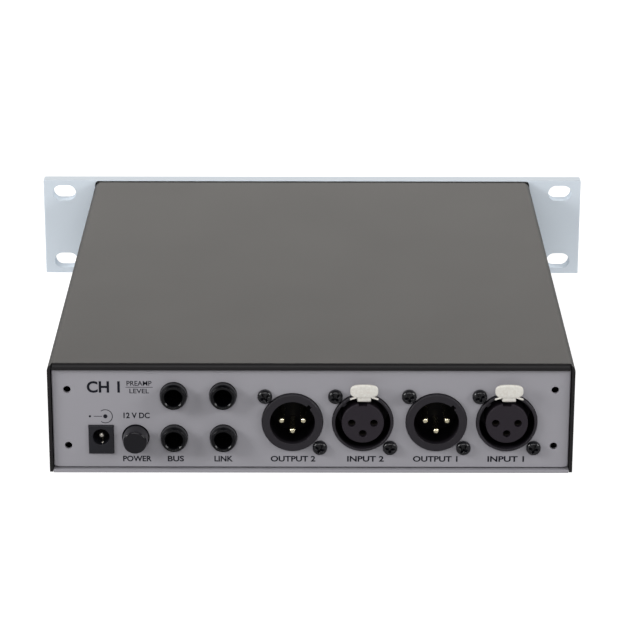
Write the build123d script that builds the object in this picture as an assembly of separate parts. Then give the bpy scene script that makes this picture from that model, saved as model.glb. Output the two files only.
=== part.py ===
from build123d import *
import os
from math import cos, radians, sin, sqrt

# Half-rack microphone preamplifier and compressor, one rack unit high.
# Millimetres. The origin is the centre of the four rack slots on the rear face of the front panel.
# The controls face -Y, the connectors face +Y, and +Z is up.

# ---- Front panel and rack slots ----
panel_width = 240.4
panel_height = 43.6
panel_thickness = 6.35
slot_pitch_x = 221.9
slot_pitch_z = 31.75
slot_length = 10.3
slot_width = 7.1
panel_edge_break = 0.3

# ---- Enclosure ----
body_width = 194.0
body_depth = 233.0  # rear face of the front panel to the rear edge of the cover
body_height = 43.0
body_drop = 21.57  # slot centre down to the underside
cover_wall = 1.2
cover_bend = 2.8  # outside radius
cover_lift = 0.3  # lower edge of the cover above the underside
lip_height = 2.45
lip_bend = 1.5  # outside radius
lip_relief = 0.4
lip_gap = 0.1
tray_wall = 1.2
tray_bend = 1.8
tray_flange = 14.0
rear_wall = 1.5
rear_bend = 0.6
rear_flange = 14.0
rear_lift = 0.7  # lower edge of the rear panel above the tray
corner_notch_width = 2.0
corner_notch_height = 0.6
subframe_wall = 2.0
subframe_corner = 1.5
subframe_flange = 6.0
subframe_foot_gap = 0.9
sheet_gap = 0.3
tray_gap = 0.1  # rear edge of the tray in front of the cover's
through = 1.0  # how far a cut runs past a face

# ---- Screws: radii of M3 ----
screw_radius = 1.45
tapped_radius = 1.5
through_radius = 1.65
pan_head_radius = 2.75
pan_head_height = 2.0
pan_head_round = 0.9
flat_head_radius = 2.8
flat_head_depth = 1.4  # in the front panel
driver_slot_width = 0.8
driver_slot_length = 3.0
driver_slot_depth = 1.0
slip = 0.05  # turned part in its hole, per side

# ---- Rear connectors: heights are above the underside ----
connector_height = 19.85
comp_output_x = 6.9
connector_gap = 0.9  # between the flanges of a pair
pair_gap = 2.1  # between the flanges of two pairs
nose_rim = 2.85  # wall round a socket at the nose
nose_round = 0.4
nose_stand = 1.4  # nose face in front of the rear panel
nose_clearance = 0.2
connector_flange_margin = 2.4  # flange beyond its screws
connector_flange_wall = 3.0
connector_flange_corner = 2.0
connector_body_step = 0.2  # body narrower than the nose
connector_depth = 20.0  # shell behind the nose face
connector_screw_gap = 0.4  # between a nose and the heads beside it
socket_radius = 8.35
socket_depth = 15.0
contact_circle = 4.1
pin_radius = 1.2
pin_tip_depth = 2.0
pin_tail = 2.0  # contact behind the shell
groove_wall = 0.95
insert_radius = 7.8
insert_round = 0.3
insert_base = 3.0
contact_hole_radius = 1.45
sleeve_radius = 1.7
sleeve_wall = 0.4
sleeve_depth = 2.2
key_width = 1.8
key_depth = 1.0
key_length = 8.0
key_angle = 45.0
key_setback = 1.0
insert_notch_width = 3.2
insert_notch_depth = 1.1

# ---- Latch tab of each input ----
latch_travel = 1.8
latch_sheet = 1.2
latch_tab_width = 10.3
latch_tab_height = 5.0
latch_tab_rise = 13.8  # tab centre above the connector axis
latch_tab_offset = 0.4  # tab centre to the -X side of the axis
latch_tab_round = 0.35
latch_neck_width = 5.2
latch_clearance = 0.15
latch_arm_sheet = 0.6
latch_arm_length = 10.0
latch_wing_width = 2.3
latch_wing_thick = 0.8
latch_wing_lift = 0.8  # wing centre above the arm
latch_wing_slope = 22.0
latch_overrun = 0.3  # room left behind a pressed tab

# ---- Jacks ----
buss_jack_x = 50.65
link_jack_x = 32.45
upper_jack_height = 30.45
lower_jack_height = 13.7
jack_barrel_radius = 4.95
jack_rim_radius = 4.4
jack_stand = 4.0
jack_bore_radius = 3.25
jack_bore_length = 9.0
jack_lead = 0.4  # bevel at the mouth of the bore
jack_cavity_radius = 4.3
jack_body_side = 13.6
jack_body_length = 24.0
jack_corner = 1.0
jack_wall = 1.5
jack_bevel = 1.4
jack_hole_clearance = 0.15
jack_leaf = 0.6
jack_leaf_place = 3.4  # from the axis

# ---- Power inlet and power button ----
inlet_x = 77.65
inlet_height = 12.9
inlet_width = 9.3
inlet_tall = 11.2
inlet_stand = 0.8
inlet_depth = 14.0
inlet_bore_radius = 3.15
inlet_bore_rise = 1.1
inlet_bore_depth = 9.5
inlet_pin_radius = 1.0
inlet_pin_tip = 1.5
inlet_pin_tail = 0.5
inlet_round = 0.3
button_x = 64.9
button_height = 13.65
button_base_radius = 4.8
button_face_radius = 4.3
button_round = 0.6
button_stand = 6.0
button_tail = 4.0
button_travel = 2.5
button_gap = 0.3
plunger_side = 3.4
plunger_grip = 5.0  # plunger inside the cap
plunger_guide = 6.0  # plunger inside the switch
switch_clearance = 0.5
switch_side = 9.6
switch_length = 16.0

# ---- Four tapped holes at the corners of the rear panel ----
corner_hole_pitch_x = 179.8
corner_hole_pitch_z = 22.2
corner_hole_height = 21.4
corner_hole_radius = 1.4

# ---- Circuit boards ----
board_wall = 1.6
standoff_height = 3.5
standoff_radius = 3.0
board_side_gap = 5.0
board_front = 22.0
board_rear_gap = 4.0
board_screw_inset = 9.0
board_screw_rear = 36.0  # rear screws from the board's rear edge
front_board_y = 10.0
front_board_rise = 5.0
front_board_height = 34.0
ribbon_half = 12.0
ribbon_thick = 1.0
ribbon_rise = 5.0
ribbon_top = 14.0
ribbon_run = 12.0

# ---- Parts on the main board: rows are measured from the inside of the rear panel ----
heavy_row_depth = 65.0
relay_row_depth = 105.0
small_row_gap = 20.0  # rows of small parts from the board's front edge and from the relays
small_row_count = 3
can_x = -69.0
can_side = 30.0
can_height = 26.0
can_corner = 3.0
can_round = 1.5
core_places = (-30.0, 12.0)
core_width = 32.0
core_depth = 16.0
core_height = 27.0
core_window = 7.0
core_window_offset = 7.5
core_bar = 6.0
coil_overhang = 5.0
coil_corner = 3.0
coil_gap = 0.2
capacitor_places = (30.0, 44.0, 58.0, 72.0)
capacitor_radius = 5.0
capacitor_height = 12.0
capacitor_round = 0.6
relay_places = (-70.0, -50.0, -30.0, -10.0)
relay_length = 15.0
relay_width = 10.0
relay_height = 11.0
chip_places = (-72.0, -52.0, -32.0, -12.0)
chip_length = 9.6
chip_width = 6.4
chip_height = 3.5
sink_x = 66.0
sink_width = 32.0
sink_height = 24.0
sink_plate = 4.0
sink_fin = 1.6
sink_fin_pitch = 6.0
sink_fin_length = 10.0

# ---- Front controls: heights are from the slot centre ----
knob_row_z = -5.5
gain_x = -82.0
trim_x = -60.0
threshold_x = -30.0
ratio_x = -8.0
attack_x = 14.0
release_x = 36.0
makeup_x = 58.0
knob_radius = 6.6
knob_skirt_lip = 0.8  # skirt beyond the knob's body
knob_skirt = 2.0
knob_length = 12.5
knob_flute_count = 24
knob_flute_radius = 0.45
knob_lift = 0.7
knob_line_width = 0.9
knob_line_depth = 0.4
knob_line_start = 1.2  # from the knob's axis
knob_round = 0.7
knob_flute_setback = 1.6
shaft_radius = 3.0
shaft_engagement = 9.0
shaft_flat = 0.6
bushing_radius = 3.6
bushing_reach = 3.0  # bushing in front of the panel's rear face
bushing_clearance = 0.2
pot_side = 11.0
pot_front = 2.6
shaft_inner_end = 5.0
shaft_end_gap = 0.3

key_row_z = 12.5
phantom_x = -86.0
polarity_x = -70.0
high_pass_x = -54.0
comp_in_x = -8.0
link_x = 14.0
key_radius = 2.6
key_stand = 2.4
key_hole_gap = 0.25
key_travel = 1.5
key_tail = 0.6
key_stem_radius = 1.4
key_stem_end = 6.0
key_round = 0.5
key_stem_gap = 0.4
key_switch_side = 7.0
key_switch_front = 2.6

lamp_radius = 1.1
lamp_stand = 0.5
lamp_hole_gap = 0.1
status_lamp_offset = 5.2
level_lamps_x = 75.0
reduction_lamps_x = 84.0
lamp_pitch = 3.4
lamps_per_column = 8

# ---- Panel and cover screws ----
panel_screw_inset_x = 5.5
panel_screw_z = 16.5
cover_screw_height = 7.5
cover_screw_front = 40.0
side_screw_length = 6.0

# ---- Places worked out from the sizes above ----
half_body = body_width / 2
underside = -body_drop
body_top = underside + body_height
cover_front = subframe_wall + sheet_gap
cover_ceiling = body_top - cover_wall
cover_inside = half_body - cover_wall
tray_side = cover_inside - sheet_gap / 2
tray_inside = tray_side - tray_wall
tray_top = underside + tray_wall
tray_rear = body_depth - tray_gap
rear_outer = body_depth - cover_wall - lip_gap
rear_inner = rear_outer - rear_wall
rear_half = cover_inside - sheet_gap
rear_top = cover_ceiling - sheet_gap
tray_flange_end = rear_inner - rear_flange - 2 * sheet_gap
tray_flange_top = underside + tray_flange
nose_face = rear_outer + nose_stand
nose_radius = socket_radius + nose_rim
groove_radius = nose_radius - groove_wall
connector_body_radius = nose_radius - connector_body_step
connector_screw_offset = (nose_radius + pan_head_radius + connector_screw_gap) / sqrt(2)
connector_flange_half = connector_screw_offset + connector_flange_margin
comp_input_x = comp_output_x - 2 * connector_flange_half - connector_gap
line_output_x = comp_input_x - 2 * connector_flange_half - pair_gap
mic_input_x = line_output_x - 2 * connector_flange_half - connector_gap
connector_back = nose_face - connector_depth
panel_front = -panel_thickness
board_bottom = tray_top + standoff_height
board_top = board_bottom + board_wall
board_half = tray_inside - board_side_gap
board_rear = rear_inner - board_rear_gap
cover_screws_y = (cover_screw_front, rear_inner - rear_flange / 2)
cover_screw_z = underside + cover_screw_height
connector_z = underside + connector_height
front_board_bottom = underside + front_board_rise
heavy_row_y = rear_inner - heavy_row_depth
relay_row_y = rear_inner - relay_row_depth

knobs = {
    "gain": gain_x,
    "trim": trim_x,
    "threshold": threshold_x,
    "ratio": ratio_x,
    "attack": attack_x,
    "release": release_x,
    "makeup": makeup_x,
}
keys = {
    "phantom": phantom_x,
    "polarity": polarity_x,
    "high_pass": high_pass_x,
    "comp_in": comp_in_x,
    "link": link_x,
}
outputs = {"comp_output": comp_output_x, "line_output": line_output_x}
inputs = {"comp_input": comp_input_x, "mic_input": mic_input_x}
jacks = {"buss": buss_jack_x, "link": link_jack_x}
jack_heights = (underside + upper_jack_height, underside + lower_jack_height)
inlet_z = underside + inlet_height
inlet_axis_z = inlet_z + inlet_bore_rise
button_z = underside + button_height
jack_face = rear_outer + jack_stand


# ---- Helpers ----
def block(x0, x1, y0, y1, z0, z1):
    """A box between two corners."""
    return Pos((x0 + x1) / 2, (y0 + y1) / 2, (z0 + z1) / 2) * Box(x1 - x0, y1 - y0, z1 - z0)


def rod(x, z, y0, y1, radius):
    """A cylinder along Y."""
    return Pos(x, (y0 + y1) / 2, z) * Rot(90, 0, 0) * Cylinder(radius, y1 - y0)


def taper(x, z, y0, y1, radius0, radius1):
    """A cone along Y, radius0 at y0 and radius1 at y1."""
    return Pos(x, (y0 + y1) / 2, z) * Rot(-90, 0, 0) * Cone(radius0, radius1, y1 - y0)


def side_rod(x0, x1, y, z, radius):
    """A cylinder along X."""
    return Pos((x0 + x1) / 2, y, z) * Rot(0, 90, 0) * Cylinder(radius, x1 - x0)


def post(x, y, z0, z1, radius):
    """A cylinder along Z."""
    return Pos(x, y, (z0 + z1) / 2) * Cylinder(radius, z1 - z0)


def plate_slot(x, z, y0, y1, length, width):
    """A round-ended slot along X, cut through from y0 to y1."""
    half = (length - width) / 2
    middle = block(x - half, x + half, y0, y1, z - width / 2, z + width / 2)
    return middle + rod(x - half, z, y0, y1, width / 2) + rod(x + half, z, y0, y1, width / 2)


def prism(outline, y0, y1):
    """A prism along Y over an outline of (x, z) points."""
    return extrude(Plane.XZ.offset(-y1) * make_face(Polyline(*outline, close=True)), y1 - y0)


def edges_along(shape, axis, *places):
    """Edges parallel to an axis whose centres have the given coordinates on the named axes."""
    index = {"X": 0, "Y": 1, "Z": 2}
    found = []
    for edge in shape.edges().filter_by(axis):
        centre = edge.center()
        at = (centre.X, centre.Y, centre.Z)
        if all(abs(at[index[name]] - value) < 0.02 for name, value in places):
            found.append(edge)
    return found


def driver_cross(x, z, y0, y1):
    """The cross recess in a screw head that faces along Y."""
    long, short = driver_slot_length / 2, driver_slot_width / 2
    across = block(x - long, x + long, y0, y1, z - short, z + short)
    return across + block(x - short, x + short, y0, y1, z - long, z + long)


def save(name, *solids):
    """Writes one node, holding one solid or a group of separate ones."""
    kept = [solid for shape in solids for solid in shape.solids()]
    export_step(kept[0] if len(kept) == 1 else Compound(kept), f"parts/{name}.step")


# ---- Enclosure ----
def top_cover():
    """Painted steel cover: a top and two sides bent from one sheet, with a lip turned down at the rear."""
    low = underside + cover_lift
    outer = block(-half_body, half_body, cover_front, body_depth, low, body_top)
    outer = fillet(top_edges(outer, half_body, body_top), cover_bend)
    y0, y1 = cover_front - through, body_depth + through
    inner = block(-cover_inside, cover_inside, y0, y1, low - through, cover_ceiling)
    inner = fillet(top_edges(inner, cover_inside, cover_ceiling), cover_bend - cover_wall)
    cover = outer - inner

    lip_half = cover_inside - lip_relief - sheet_gap
    relief_half = lip_half + lip_relief
    lip_low = body_top - lip_height
    cover -= block(-relief_half, relief_half, body_depth - lip_bend, y1, lip_low, body_top + through)
    cover += lip(lip_half, lip_low)

    for side in (-1, 1):
        for y in cover_screws_y:
            cover -= side_screw(side, y, through_radius, flat_head_radius + slip)
    save("top_cover", cover)


def top_edges(box, half, top):
    """The two upper edges of a box that run along Y."""
    left = edges_along(box, Axis.Y, ("X", -half), ("Z", top))
    return left + edges_along(box, Axis.Y, ("X", half), ("Z", top))


def lip(half, low):
    """The narrow lip along the rear edge of the cover, with its bend."""
    start = body_depth - 2 * lip_bend
    inner_face = body_depth - cover_wall
    outer = block(-half, half, start, body_depth, low, body_top)
    outer = fillet(edges_along(outer, Axis.X, ("Y", body_depth), ("Z", body_top)), lip_bend)
    wide = half + through
    hollow = block(-wide, wide, start - through, inner_face, low - through, cover_ceiling)
    bend = edges_along(hollow, Axis.X, ("Y", inner_face), ("Z", cover_ceiling))
    return outer - fillet(bend, lip_bend - cover_wall)


def side_screw(side, y, shank, head):
    """The shank and countersunk head of a screw through one side of the cover."""
    inner, face = side * (half_body - side_screw_length), side * half_body
    low, high = sorted((inner, face))
    cone = Rot(0, side * 90, 0) * Cone(shank, head, cover_wall)
    cone = Pos(face - side * cover_wall / 2, y, cover_screw_z) * cone
    return side_rod(low, high, y, cover_screw_z, shank) + cone


def bottom_tray():
    """Steel tray: a floor with a low flange folded up at each side, and a wide tongue at the rear."""
    outer = block(-tray_side, tray_side, cover_front, tray_flange_end, underside, tray_flange_top)
    outer = fillet(bottom_edges(outer, tray_side, underside), tray_bend)
    y0, y1 = cover_front - through, tray_flange_end + through
    inner = block(-tray_inside, tray_inside, y0, y1, tray_top, tray_flange_top + through)
    inner = fillet(bottom_edges(inner, tray_inside, tray_top), tray_bend - tray_wall)
    tray = outer - inner
    tray += block(-tray_side, tray_side, tray_flange_end, tray_rear, underside, tray_top)
    for side in (-1, 1):
        tray -= side_screw(side, cover_screw_front, tapped_radius, tapped_radius + slip)
    for x, y in board_corners():
        tray -= post(x, y, underside - through, tray_top + through, tapped_radius)
    save("bottom_tray", tray)


def bottom_edges(box, half, low):
    """The two lower edges of a box that run along Y."""
    left = edges_along(box, Axis.Y, ("X", -half), ("Z", low))
    return left + edges_along(box, Axis.Y, ("X", half), ("Z", low))


def rear_panel():
    """Steel panel for the connectors, with a flange folded forwards at each side."""
    panel = block(-rear_half, rear_half, rear_inner, rear_outer, tray_top, rear_top)
    for side in (-1, 1):
        low, high = sorted((side * (rear_half - rear_wall), side * rear_half))
        panel += block(low, high, rear_inner - rear_flange, rear_outer, tray_top, rear_top)
    panel = fillet(top_edges(panel, rear_half, rear_top), cover_bend - cover_wall)
    corners = edges_along(panel, Axis.Z, ("X", -rear_half), ("Y", rear_outer))
    corners += edges_along(panel, Axis.Z, ("X", rear_half), ("Y", rear_outer))
    panel = fillet(corners, rear_bend)
    panel -= bottom_relief()
    for side in (-1, 1):
        panel -= side_screw(side, cover_screws_y[1], tapped_radius, tapped_radius + slip)

    y0, y1 = rear_inner - through, rear_outer + through
    for x in [*outputs.values(), *inputs.values()]:
        panel -= rod(x, connector_z, y0, y1, nose_radius + nose_clearance)
        for sx, sz in connector_screw_places(x):
            panel -= rod(sx, sz, y0, y1, through_radius)
    for x in jacks.values():
        for z in jack_heights:
            panel -= rod(x, z, y0, y1, jack_barrel_radius + jack_hole_clearance)
    panel -= rod(button_x, button_z, y0, y1, button_base_radius + button_gap)
    wide, tall = inlet_width / 2 + slip, inlet_tall / 2 + slip
    panel -= block(inlet_x - wide, inlet_x + wide, y0, y1, inlet_z - tall, inlet_z + tall)
    for sx in (-1, 1):
        for sz in (-1, 1):
            x = sx * corner_hole_pitch_x / 2
            z = underside + corner_hole_height + sz * corner_hole_pitch_z / 2
            panel -= rod(x, z, y0, y1, corner_hole_radius)
    save("rear_panel", panel)


def bottom_relief():
    """The gap under the panel's lower edge, with a sloping notch at each corner by the fold."""
    edge = tray_top + rear_lift
    outside = rear_half + through
    notch_end = rear_half - corner_notch_width
    outline = [
        (-outside, underside),
        (-outside, edge + corner_notch_height),
        (-rear_half, edge + corner_notch_height),
        (-notch_end, edge),
        (notch_end, edge),
        (rear_half, edge + corner_notch_height),
        (outside, edge + corner_notch_height),
        (outside, underside),
    ]
    return prism(outline, rear_inner - rear_bend, rear_outer + through)


def front_panel():
    """Machined aluminium rack panel with four rack slots and holes for the controls."""
    half, tall = panel_width / 2, panel_height / 2
    panel = block(-half, half, panel_front, 0, -tall, tall)
    panel = chamfer(panel.edges(), panel_edge_break)
    y0, y1 = panel_front - through, through
    for sx in (-1, 1):
        for sz in (-1, 1):
            x, z = sx * slot_pitch_x / 2, sz * slot_pitch_z / 2
            panel -= plate_slot(x, z, y0, y1, slot_length, slot_width)
    panel = cut_control_holes(panel, y0, y1)
    for x, z in panel_screw_places():
        panel -= rod(x, z, y0, y1, through_radius)
        sink = panel_front + flat_head_depth
        panel -= taper(x, z, panel_front, sink, flat_head_radius + slip, through_radius)
    save("front_panel", panel)


def front_subframe():
    """Black steel frame between the panel and the cover, with round corners and a foot over the tray."""
    frame = block(-half_body, half_body, 0, subframe_wall, underside, body_top)
    frame = fillet(frame.edges().filter_by(Axis.Y), subframe_corner)
    foot_half = tray_inside - subframe_foot_gap
    foot_end = subframe_wall + subframe_flange
    frame += block(-foot_half, foot_half, 0, foot_end, tray_top, tray_top + tray_wall)
    frame = cut_control_holes(frame, -through, subframe_wall + through)
    for x, z in panel_screw_places():
        frame -= rod(x, z, -through, subframe_wall + through, tapped_radius)
    save("front_subframe", frame)


def cut_control_holes(plate, y0, y1):
    """Holes for the bushings, keys and lamps, the same in the panel and in the frame behind it."""
    for x in knobs.values():
        plate -= rod(x, knob_row_z, y0, y1, bushing_radius + bushing_clearance)
    for x in keys.values():
        plate -= rod(x, key_row_z, y0, y1, key_radius + key_hole_gap)
        plate -= rod(x + status_lamp_offset, key_row_z, y0, y1, lamp_radius + lamp_hole_gap)
    for x in (level_lamps_x, reduction_lamps_x):
        for z in lamp_heights():
            plate -= rod(x, z, y0, y1, lamp_radius + lamp_hole_gap)
    return plate


def panel_screw_places():
    """The four screws that hold the panel to the frame."""
    x = half_body - panel_screw_inset_x
    return [(sx * x, sz * panel_screw_z) for sx in (-1, 1) for sz in (-1, 1)]


def lamp_heights():
    """Heights of one column of lamps."""
    return [(n - (lamps_per_column - 1) / 2) * lamp_pitch for n in range(lamps_per_column)]


def board_corners():
    """The four screws under the main board."""
    x = board_half - board_screw_inset
    rows = (board_front + board_screw_inset, board_rear - board_screw_rear)
    return [(side * x, y) for side in (-1, 1) for y in rows]


def flat_screws():
    """Countersunk screws in the front panel and in the sides of the cover."""
    group = []
    for x, z in panel_screw_places():
        sink = panel_front + flat_head_depth
        screw = taper(x, z, panel_front, sink, flat_head_radius, screw_radius)
        screw += rod(x, z, sink, subframe_wall, screw_radius)
        group.append(screw - driver_cross(x, z, panel_front - through, panel_front + driver_slot_depth))
    long, short = driver_slot_length / 2, driver_slot_width / 2
    for side in (-1, 1):
        low, high = sorted((side * (half_body - driver_slot_depth), side * (half_body + through)))
        for y in cover_screws_y:
            screw = side_screw(side, y, screw_radius, flat_head_radius)
            z = cover_screw_z
            screw -= block(low, high, y - long, y + long, z - short, z + short)
            screw -= block(low, high, y - short, y + short, z - long, z + long)
            group.append(screw)
    save("flat_screws", *group)


# ---- Microphone-style connectors ----
def connector_flange(x):
    """The square flange that sits against the inside of the rear panel."""
    half = connector_flange_half
    back = rear_inner - connector_flange_wall
    flange = block(x - half, x + half, back, rear_inner, connector_z - half, connector_z + half)
    flange = fillet(flange.edges().filter_by(Axis.Y), connector_flange_corner)
    for sx, sz in connector_screw_places(x):
        flange -= rod(sx, sz, back - through, rear_inner + through, tapped_radius)
    return flange


def connector_screw_places(x):
    """The two screws of a connector, one above and one below on a diagonal."""
    offset = connector_screw_offset
    return [(x + side * offset, connector_z + side * offset) for side in (-1, 1)]


def connector_nose(x):
    """The round nose that shows through the rear panel, with its front edge rounded."""
    flange_back = rear_inner - connector_flange_wall
    nose = rod(x, connector_z, flange_back, nose_face, nose_radius)
    nose = fillet(nose.edges().sort_by(Axis.Y)[-1], nose_round)
    return nose + rod(x, connector_z, connector_back, flange_back, connector_body_radius)


def contact_places(x):
    """The three contacts: two level with the axis and one below it."""
    places = []
    for angle in (0, 180, 270):
        turn = radians(angle)
        places.append((x + contact_circle * cos(turn), connector_z + contact_circle * sin(turn)))
    return places


def key_block(x, angle, radius, y0, y1):
    """A small square key centred on a radius at an angle round the connector axis."""
    bar = Box(key_width, y1 - y0, 2 * key_depth)
    return Pos(x, (y0 + y1) / 2, connector_z) * Rot(0, -angle + 90, 0) * Pos(0, 0, radius) * bar


def output_shells():
    """Male receptacles: a deep socket with three pins that stand on its floor."""
    pins = []
    floor = nose_face - socket_depth
    for name, x in outputs.items():
        shell = connector_nose(x) + connector_flange(x)
        shell -= rod(x, connector_z, floor, nose_face + through, socket_radius)
        shell -= key_block(x, 180 - key_angle, socket_radius, nose_face - key_length, nose_face + through)
        for px, pz in contact_places(x):
            shell -= rod(px, pz, connector_back - through, floor + through, pin_radius + slip)
            pin = rod(px, pz, connector_back - pin_tail, nose_face - pin_tip_depth, pin_radius)
            pins.append(fillet(pin.edges().sort_by(Axis.Y)[-1], pin_radius * 0.8))
        save(f"{name}_shell", shell)
    save("output_pins", *pins)


def input_shells():
    """Female receptacles: an outer shell, an insert with three contact sleeves, and a latch tab."""
    sleeves = []
    for name, x in inputs.items():
        shell = connector_nose(x) + connector_flange(x)
        shell -= rod(x, connector_z, connector_back - through, nose_face + through, groove_radius)
        key_front, key_back = nose_face - key_setback, nose_face - key_length
        key = key_block(x, key_angle, groove_radius, key_back, key_front)
        shell += key & rod(x, connector_z, key_back, key_front, groove_radius + slip)
        save(f"{name}_shell", shell)
        save(f"{name}_insert", insert(x))
        save(f"{name}_latch", latch(x))
        sleeves += [sleeve(px, pz) for px, pz in contact_places(x)]
    save("input_contacts", *sleeves)


def insert(x):
    """The round insert on its base, with a notch for the latch arm and a stepped hole for each contact."""
    base = connector_back + insert_base
    shape = rod(x, connector_z, base, nose_face, insert_radius)
    shape = fillet(shape.edges().sort_by(Axis.Y)[-1], insert_round)
    shape += rod(x, connector_z, connector_back, base, groove_radius - slip)
    half, front = insert_notch_width / 2, nose_face + through
    low = connector_z + insert_radius - insert_notch_depth
    shape -= block(x - half, x + half, nose_face - key_length, front, low, connector_z + groove_radius)
    sleeve_front = nose_face - sleeve_depth
    for px, pz in contact_places(x):
        shape -= rod(px, pz, sleeve_front - through, front, contact_hole_radius)
        shape -= rod(px, pz, connector_back - through, sleeve_front, sleeve_radius + slip)
    return shape


def sleeve(x, z):
    """One contact sleeve, with a bore that stops at the insert's base."""
    front = nose_face - sleeve_depth - slip
    tube = rod(x, z, connector_back - pin_tail, front, sleeve_radius)
    return tube - rod(x, z, connector_back + insert_base, nose_face, sleeve_radius - sleeve_wall)


def latch(axis_x):
    """Bent steel latch: a tab to press, a neck with two wings, and an arm that reaches into the groove."""
    x = axis_x - latch_tab_offset
    back = nose_face + latch_travel + latch_overrun
    front = back + latch_sheet
    z = connector_z + latch_tab_rise
    wide, tall = latch_tab_width / 2, latch_tab_height / 2
    tab = block(x - wide, x + wide, back, front, z - tall, z + tall)
    tab = fillet(tab.edges().filter_by(Axis.Y), tall * 0.8)
    tab = fillet(tab.faces().sort_by(Axis.Y)[-1].outer_wire().edges(), latch_tab_round)
    neck_half = latch_neck_width / 2
    arm_high = connector_z + groove_radius - latch_clearance - latch_drop()
    arm_low = arm_high - latch_arm_sheet
    neck = block(x - neck_half, x + neck_half, back, front, arm_low, z)
    arm = block(x - neck_half, x + neck_half, nose_face - latch_arm_length, front, arm_low, arm_high)
    shape = tab + neck + arm
    for side in (-1, 1):
        wing = Box(latch_wing_width, latch_sheet, latch_wing_thick)
        wing = Rot(0, side * latch_wing_slope, 0) * wing
        wing_x = x + side * (neck_half + latch_wing_width * 0.42)
        shape += Pos(wing_x, (back + front) / 2, arm_high + latch_wing_lift) * wing
    return shape


def latch_drop():
    """How far the groove's round wall comes down at the outer corner of the latch arm."""
    corner = latch_neck_width / 2 + latch_tab_offset
    return groove_radius - sqrt(groove_radius**2 - corner**2)


def connector_screws():
    """Black pan-head screws, two to each connector."""
    group = []
    for x in [*outputs.values(), *inputs.values()]:
        for sx, sz in connector_screw_places(x):
            head = rod(sx, sz, rear_outer, rear_outer + pan_head_height, pan_head_radius)
            head = fillet(head.edges().sort_by(Axis.Y)[-1], pan_head_round)
            screw = head + rod(sx, sz, rear_inner - connector_flange_wall, rear_outer, screw_radius)
            top = rear_outer + pan_head_height
            group.append(screw - driver_cross(sx, sz, top - driver_slot_depth, top + through))
    save("connector_screws", *group)


# ---- Jacks, power inlet and power button ----
def jack_sockets():
    """Quarter-inch jacks: a barrel through the panel, a square body behind it and two leaves inside."""
    leaves = []
    for name, x in jacks.items():
        save(f"{name}_jacks", *[jack(x, z) for z in jack_heights])
        for z in jack_heights:
            for side in (-1, 1):
                low, high = sorted((side * jack_leaf_place, side * (jack_leaf_place + jack_leaf)))
                back = rear_inner - jack_body_length + jack_wall
                front = jack_face - jack_bore_length - 2 * jack_wall
                leaves.append(block(x + low, x + high, back, front, z - jack_leaf, z + jack_leaf))
    save("jack_leaves", *leaves)


def jack(x, z):
    """One jack, with a bevelled rim, a bore that fits the plug and a wider hollow behind the bore."""
    rim = jack_face - jack_bevel
    back = rear_inner - jack_body_length
    wide = jack_body_side / 2
    body = block(x - wide, x + wide, back, rear_inner, z - wide, z + wide)
    body = fillet(body.edges().filter_by(Axis.Y), jack_corner)
    shape = body + rod(x, z, rear_inner, rim, jack_barrel_radius)
    shape += taper(x, z, rim, jack_face, jack_barrel_radius, jack_rim_radius)
    shape -= rod(x, z, jack_face - jack_bore_length, jack_face + through, jack_bore_radius)
    shape -= taper(x, z, jack_face - jack_lead, jack_face, jack_bore_radius, jack_bore_radius + jack_lead)
    shape -= rod(x, z, back + jack_wall, jack_face - jack_bore_length, jack_cavity_radius)
    return shape


def power_inlet():
    """Moulded DC inlet with a centre pin."""
    face = rear_outer + inlet_stand
    back = face - inlet_depth
    wide, tall = inlet_width / 2, inlet_tall / 2
    body = block(inlet_x - wide, inlet_x + wide, back, face, inlet_z - tall, inlet_z + tall)
    body = fillet(body.faces().sort_by(Axis.Y)[-1].outer_wire().edges(), inlet_round)
    body -= rod(inlet_x, inlet_axis_z, face - inlet_bore_depth, face + through, inlet_bore_radius)
    body -= rod(inlet_x, inlet_axis_z, back - through, face, inlet_pin_radius + slip)
    save("power_inlet_body", body)
    pin = rod(inlet_x, inlet_axis_z, back - inlet_pin_tail, face - inlet_pin_tip, inlet_pin_radius)
    save("power_inlet_pin", fillet(pin.edges().sort_by(Axis.Y)[-1], inlet_pin_radius * 0.7))


def power_button():
    """Round push button on the square plunger of a latching switch."""
    face = rear_outer + button_stand
    tail = rear_inner - button_tail
    cap = rod(button_x, button_z, tail, rear_outer, button_base_radius)
    cap += taper(button_x, button_z, rear_outer, face, button_base_radius, button_face_radius)
    cap = fillet(cap.edges().sort_by(Axis.Y)[-1], button_round)
    save("power_button", cap - button_bar(tail - through, tail + plunger_grip, plunger_side / 2 + slip))

    body_front = tail - button_travel - switch_clearance
    plunger_back = body_front - plunger_guide
    save("power_plunger", button_bar(plunger_back, tail + plunger_grip, plunger_side / 2))

    body = button_bar(body_front - switch_length, body_front, switch_side / 2)
    guide_back = plunger_back - button_travel - switch_clearance
    save("power_switch", body - button_bar(guide_back, body_front + through, plunger_side / 2 + slip))


def button_bar(y0, y1, half):
    """A square bar along the power button's axis."""
    return block(button_x - half, button_x + half, y0, y1, button_z - half, button_z + half)


# ---- Front controls ----
def controls():
    """Rotary controls: a fluted knob on a shaft that turns in a potentiometer's bushing."""
    bodies = []
    for name, x in knobs.items():
        save(f"{name}_knob", knob(x))
        save(f"{name}_shaft", shaft(x))
        side = pot_side / 2
        body = block(x - side, x + side, pot_front, front_board_y, knob_row_z - side, knob_row_z + side)
        body += rod(x, knob_row_z, -bushing_reach, pot_front, bushing_radius)
        bore_end = shaft_inner_end + shaft_end_gap
        bodies.append(body - rod(x, knob_row_z, -bushing_reach - through, bore_end, shaft_radius + slip))
    save("potentiometers", *bodies)


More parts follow.
